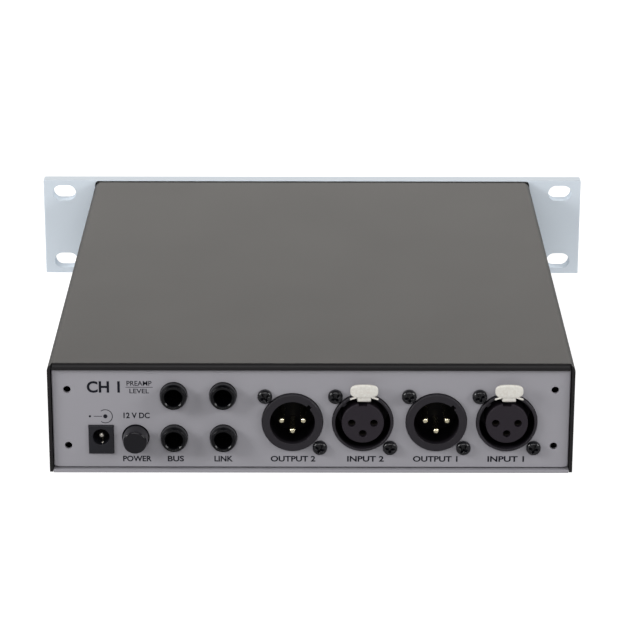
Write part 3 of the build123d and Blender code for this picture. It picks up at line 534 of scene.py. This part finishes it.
def latch_tab(name, node, body):
    """The tab, its bent neck and arm, and its two wings, in the box of the CAD latch."""
    tab_half, tab_thick, tab_tall = 5.15 * mm, 0.6 * mm, 2.55 * mm
    arm_wide, arm_thick, arm_rise = 5.0 * mm, 0.5 * mm, 0.44 * mm
    neck_back, bend_radius = 0.8 * mm, 0.8 * mm
    wing_wide, wing_thick = 0.8 * mm, 0.6 * mm
    wing_root, wing_root_drop = 2.7 * mm, 4.95 * mm
    wing_tip, wing_tip_drop = 5.2 * mm, 5.75 * mm
    low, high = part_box(node)
    x = (low.x + high.x) / 2
    front, top = high.y, high.z
    shapes = [closed_tube(tab_pillow(x, front - tab_thick, top - tab_tall, tab_half, tab_thick, tab_tall))]

    arm_z = low.z + arm_rise
    neck_y = front - neck_back
    bend = np.radians(np.linspace(0, 90, 12))
    bend_y = neck_y - bend_radius * (1 - np.sin(bend))
    bend_z = arm_z + bend_radius * (1 - np.cos(bend))
    corner = np.stack([np.full(len(bend), x), bend_y, bend_z], 1)
    path = np.array([(x, low.y, arm_z), *corner, (x, neck_y, top - tab_tall)])
    shapes.append(closed_tube(bent_strip(path, (1, 0, 0), arm_wide, arm_thick)))

    share = np.linspace(0, 1, 8)[:, None]
    for side in (-1, 1):
        start = np.array([x + side * wing_root, front - tab_thick, top - wing_root_drop])
        end = np.array([x + side * wing_tip, front - tab_thick, top - wing_tip_drop])
        wing = start + (end - start) * share
        shapes.append(closed_tube(bent_strip(wing, (0, 1, 0), wing_wide, wing_thick)))
    piece = make_piece(name, *join_shapes(shapes), latch_steel)
    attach(piece, body)
    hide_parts(node)


latch_tab("comp_input_latch_tab", "comp_input_latch", "comp_input_release")
latch_tab("mic_input_latch_tab", "mic_input_latch", "mic_input_release")


# ---- Connector screws ----
# Eight black-oxide pan-head screws with a cross recess, two to each receptacle. Each stands turned by its own
# amount, as a hand-driven screw does.
black_oxide = finish("black_oxide", (0.004, 0.004, 0.006), 0.24, gloss=0.5, mottle=0.2, bump=0.004, edge=0.1)


def recess_bar(along, aside, reach, half):
    """How deep one bar of the cross is at a point, from 0 to 1. It slopes in from its sides and its ends."""
    side_slope, end_slope = 0.35 * half, 0.45 * reach
    from_side = np.clip((half - np.abs(aside)) / side_slope, 0, 1)
    from_end = np.clip((reach - np.abs(along)) / end_slope, 0, 1)
    return from_side * from_end


def screw_head(x, z, base, radius, height, turn):
    """A pan head on polar rings. Its height falls off near the rim as a quarter ellipse. The recess is cut
    where a point lies inside either bar of the cross, and slopes up towards each end."""
    rings, around = 44, 72
    pole, crowding = 0.01, 0.8
    shoulder, rim_height = 0.42, 0.35
    reach, half, deep = 0.66 * radius, 0.19 * radius, 0.8 * height
    share = np.linspace(pole, 1, rings) ** crowding
    angle = -np.linspace(0, 2 * np.pi, around, endpoint=False)
    r = (share * radius)[:, None] + 0 * angle
    u, v = r * np.cos(angle), r * np.sin(angle)
    rim = np.clip((share - (1 - shoulder)) / shoulder, 0, 1)
    round_off = np.sqrt(np.clip(1 - rim ** 2, 0, 1))
    dome = height * (rim_height + (1 - rim_height) * round_off)[:, None] + 0 * angle
    cut = np.maximum(recess_bar(u, v, reach, half), recess_bar(v, u, reach, half))
    top = base + dome - deep * cut
    a = np.radians(turn)
    px = x + u * np.cos(a) - v * np.sin(a)
    pz = z + u * np.sin(a) + v * np.cos(a)
    foot = np.stack([px[-1:], np.full((1, around), base), pz[-1:]], -1)
    return np.concatenate([foot, np.stack([px, top, pz], -1)[::-1]])


def island_centres(node):
    """Centres of a CAD node's separate solids across X and Z, found by gathering points that lie close."""
    close = 6 * mm
    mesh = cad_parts[node].data
    flat = np.zeros(len(mesh.vertices) * 3)
    mesh.vertices.foreach_get("co", flat)
    points = flat.reshape(-1, 3)[:, [0, 2]]
    left = np.ones(len(points), bool)
    centres = []
    while left.any():
        seed = points[left][0]
        near = left & (np.hypot(*(points - seed).T) < close)
        group = points[near]
        centres.append(tuple((group.min(0) + group.max(0)) / 2))
        left &= ~near
    return sorted(centres)


def connector_screws():
    """The eight heads on the rear panel, each on its shank."""
    head_radius, shank_wide, gap = 2.72 * mm, 2.9 * mm, 0.1 * mm
    turns = (12, 68, 31, 80, 5, 52, 24, 61)
    low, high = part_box("connector_screws")
    shapes = []
    for (x, z), turn in zip(island_centres("connector_screws"), turns):
        shapes.append(closed_tube(screw_head(x, z, rear_face, head_radius, high.y - rear_face, turn)))
        shank = [(x, low.y, z), (x, rear_face - gap, z)]
        shapes.append(closed_tube(bent_strip(shank, (1, 0, 0), shank_wide, shank_wide, corner=1.0)))
    piece = make_piece("connector_screw_heads", *join_shapes(shapes), black_oxide)
    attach(piece, "chassis")
    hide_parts("connector_screws")


connector_screws()
coat(black_oxide, "flat_screws")


# ---- Jacks ----
# Four moulded quarter-inch jacks with glossy threaded barrels, two for the bus and two for the link, and the
# sprung leaves inside them.
jack_black = finish("jack_black", (0.002, 0.002, 0.003), 0.2, gloss=0.28, mottle=0.2, bump=0.004, edge=0.35,
                    worn=0.1)
leaf_metal = finish("leaf_metal", (0.75, 0.71, 0.64), 0.3, metal=1.0, bump=0.003)
coat(jack_black, "buss_jacks", "link_jacks")
coat(leaf_metal, "jack_leaves")


# ---- Power inlet ----
# A square moulded inlet with a plated centre pin. A plated spring leaf stands in the lower half of its bore.
inlet_black = finish("inlet_black", (0.0125, 0.0125, 0.017), 0.4, gloss=0.35, mottle=0.15, bump=0.006,
                     edge=0.2)
coat(inlet_black, "power_inlet_body")
coat(leaf_metal, "power_inlet_pin")


def inlet_spring():
    """A narrow leaf from the bore's floor to near its mouth, bowed towards the pin: its height above the bore
    wall is its bow times the sine of its share of the way."""
    aside, wall, bow, skew = 0.35 * mm, 2.75 * mm, 0.9 * mm, 0.8
    deep_end, length = 8.0 * mm, 6.6 * mm
    wide, thick = 0.7 * mm, 0.25 * mm
    low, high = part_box("power_inlet_pin")
    x, z = (low.x + high.x) / 2 - aside, (low.z + high.z) / 2
    share = np.linspace(0, 1, 16)
    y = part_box("power_inlet_body")[1].y - (deep_end - length * share)
    rise = bow * np.sin(np.pi * share ** skew)
    path = np.stack([x + 0 * share, y, z - wall + rise], 1)
    piece = make_piece("inlet_spring", *closed_tube(bent_strip(path, (1, 0, 0), wide, thick)), leaf_metal)
    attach(piece, "chassis")


inlet_spring()


# ---- Power button ----
# A moulded cap with a slight taper and a rounded face, pressed onto the plunger of a latching switch.
button_grey = finish("button_grey", (0.0045, 0.004, 0.0068), 0.16, gloss=0.4, mottle=0.1, bump=0.008,
                     edge=0.6)
switch_black = finish("switch_black", (0.03, 0.03, 0.032), 0.5, gloss=0.4, bump=0.01)
coat(button_grey, "power_button")
coat(switch_black, "power_plunger", "power_switch", "key_switches")


# ---- Knobs ----
# Seven turned aluminium knobs, black anodised with a satin cap, twenty-four flutes and an inlaid white line.
knob_black = finish("knob_black", (0.018, 0.018, 0.02), 0.36, metal=0.5, mottle=0.12, fine=3000, bump=0.004,
                    edge=0.1)
turned_steel = finish("turned_steel", (0.6, 0.6, 0.585), 0.3, metal=1.0, fine=2500, bump=0.003)
white_line = finish("white_line", (0.82, 0.82, 0.8), 0.5, mottle=0.04, bump=0.004, edge=0.05)
knob_names = ("gain", "trim", "threshold", "ratio", "attack", "release", "makeup")


def knob_grid(x, z, front, back):
    """A fluted knob in rings, given from its back to its cap. Each ring's radius is the profile's, less the
    flute depth times the squared raised cosine of its angle, and the cap is dished by a shallow bowl. The
    profile's rows are a radius and a depth in millimetres, then the share of the flute depth."""
    around, flutes = 288, 24
    flute_depth = 0.45 * mm
    profile = np.array([
        (0.05, 0.25, 0), (2.0, 0.22, 0), (4.0, 0.12, 0), (5.2, 0.08, 0), (5.75, 0.07, 0), (6.1, 0.16, 0),
        (6.4, 0.35, 0), (6.55, 0.7, 0.15), (6.6, 1.2, 0.7), (6.6, 2.0, 1.0), (6.6, 6.0, 1.0), (6.6, 9.6, 1.0),
        (6.6, 10.2, 0.5), (6.62, 10.45, 0), (7.2, 10.5, 0), (7.38, 10.65, 0), (7.4, 10.9, 0), (7.4, 12.2, 0),
        (7.25, 12.45, 0), (6.9, 12.5, 0), (3.9, 12.5, 0), (3.9, 11.2, 0), (3.1, 11.2, 0), (3.1, 4.0, 0),
        (0.05, 4.0, 0),
    ])
    radius, depth, fluted = profile[:, :1], profile[:, 1:2], profile[:, 2:]
    turn = np.linspace(0, 2 * np.pi, around, endpoint=False)
    flute = flute_depth * (0.5 + 0.5 * np.cos(flutes * turn)) ** 2
    r = radius * mm - fluted * flute
    y = front + depth * (back - front) / depth.max() + 0 * turn
    rings = np.stack([x + r * np.sin(turn), y, z + r * np.cos(turn)], -1)
    return rings[::-1, ::-1]


def knob(name):
    """One knob in the box of its CAD node, with its inlaid line."""
    line_inner, line_outer, line_wide, line_thick = 1.4 * mm, 6.15 * mm, 0.9 * mm, 0.3 * mm
    inner_sink, outer_sink = 0.35 * mm, 0.16 * mm
    node, body = name + "_knob", name + "_control"
    low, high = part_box(node)
    x, z = (low.x + high.x) / 2, (low.z + high.z) / 2
    grip = make_piece(name + "_knob_grip", *closed_tube(knob_grid(x, z, low.y, high.y)), knob_black)
    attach(grip, body)
    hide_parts(node)
    share = np.linspace(0, 1, 12)
    sink = inner_sink + (outer_sink - inner_sink) * share
    rise = line_inner + (line_outer - line_inner) * share
    path = np.stack([x + 0 * share, low.y + sink, z + rise], 1)
    strip = closed_tube(bent_strip(path, (1, 0, 0), line_wide, line_thick))
    line = make_piece(name + "_knob_line", *strip, white_line)
    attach(line, body)


for name in knob_names:
    knob(name)
    coat(turned_steel, name + "_shaft")
coat(turned_steel, "potentiometers")


# ---- Front markings ----
# A printed scale round each knob: eleven ticks over 300 degrees, with a number at each end and in the middle.


def dial_scale(x, z):
    """The ticks and numbers of one dial, measured from its axis, zero at the lower left as read in front."""
    marks, first_angle, step = 11, 240, 30
    numbered = (0, 5, 10)
    inner, short_outer, long_outer, half = 8.3 * mm, 9.0 * mm, 9.5 * mm, 0.12 * mm
    number_radius, number_half, digit_wide, two_digits_wide = 10.5 * mm, 0.55 * mm, 0.75 * mm, 1.1 * mm
    words, strokes = [], []
    place = np.array([x, z])
    for mark in range(marks):
        angle = np.radians(first_angle - step * mark)
        way = np.array([np.cos(angle), np.sin(angle)])
        side = np.array([-np.sin(angle), np.cos(angle)])
        outer = long_outer if mark in numbered else short_outer
        corners = [place + way * inner - side * half, place + way * outer - side * half,
                   place + way * outer + side * half, place + way * inner + side * half]
        strokes.append((np.array(corners), [(0, 1, 2, 3)]))
        if mark in numbered:
            across, up = place + way * number_radius
            half_wide = (digit_wide if mark < 10 else two_digits_wide) / 2
            box = (across - half_wide, across + half_wide, up - number_half, up + number_half)
            words.append((str(mark), *box))
    return words, strokes


def front_markings():
    """Every dial's scale, printed on the front face of the panel."""
    words, strokes = [], []
    for name in knob_names:
        low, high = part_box(name + "_knob")
        more_words, more_strokes = dial_scale((low.x + high.x) / 2, (low.z + high.z) / 2)
        words += more_words
        strokes += more_strokes
    piece = printed("front_print", words, strokes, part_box("front_panel")[0].y, -1, dark_ink)
    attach(piece, "chassis")


front_markings()


# ---- Keys and lamps ----
# Five ivory push keys with a small lamp beside each, and two columns of eight lamps for level and reduction.
key_ivory = finish("key_ivory", (0.72, 0.71, 0.68), 0.4, mottle=0.03, bump=0.005, edge=0.25)
lens_green = finish("lens_green", (0.10, 0.42, 0.12), 0.16, gloss=0.8, mottle=0.1, edge=0.2)
lens_amber = finish("lens_amber", (0.62, 0.33, 0.05), 0.16, gloss=0.8, mottle=0.1, edge=0.2)
coat(key_ivory, "phantom_key", "polarity_key", "high_pass_key", "comp_in_key", "link_key")
coat(lens_amber, "status_lamps")
coat(lens_green, "meter_lamps")


# ---- Boards and parts inside ----
# A glass-fibre board on brass standoffs carries the transformers, relays, amplifier chips, capacitors and a
# finned heat sink. A ribbon joins it to the board behind the controls.
inside = (
    (finish("solder_mask", (0.02, 0.13, 0.05), 0.3, gloss=0.6, mottle=0.15, broad=120, bump=0.008),
     "front_board", "main_board"),
    (finish("standoff_brass", (0.72, 0.55, 0.27), 0.3, metal=1.0), "board_standoffs"),
    (finish("zinc_screw", (0.6, 0.6, 0.6), 0.35, metal=1.0), "board_screws"),
    (finish("ribbon_grey", (0.42, 0.42, 0.44), 0.55, fine=700, bump=0.05, stretch=(1, 0.02, 0.02)),
     "ribbon_cable"),
    (finish("shield_can", (0.58, 0.58, 0.6), 0.28, metal=1.0, broad=60), "input_transformer"),
    (finish("core_laminations", (0.2, 0.2, 0.21), 0.45, metal=0.7, bump=0.05, stretch=(0.02, 1, 0.02)),
     "output_transformer_cores"),
    (finish("coil_tape", (0.7, 0.5, 0.1), 0.35, mottle=0.1), "output_transformer_coils"),
    (finish("capacitor_sleeve", (0.02, 0.025, 0.06), 0.3, gloss=0.6, bump=0.004), "capacitors"),
    (finish("relay_case", (0.7, 0.69, 0.64), 0.4, mottle=0.03), "relays"),
    (finish("chip_resin", (0.02, 0.02, 0.021), 0.6, bump=0.012), "amplifier_chips"),
    (finish("heat_sink_black", (0.02, 0.02, 0.021), 0.5, metal=0.4), "heat_sink"),
)
for material, *names in inside:
    coat(material, *names)
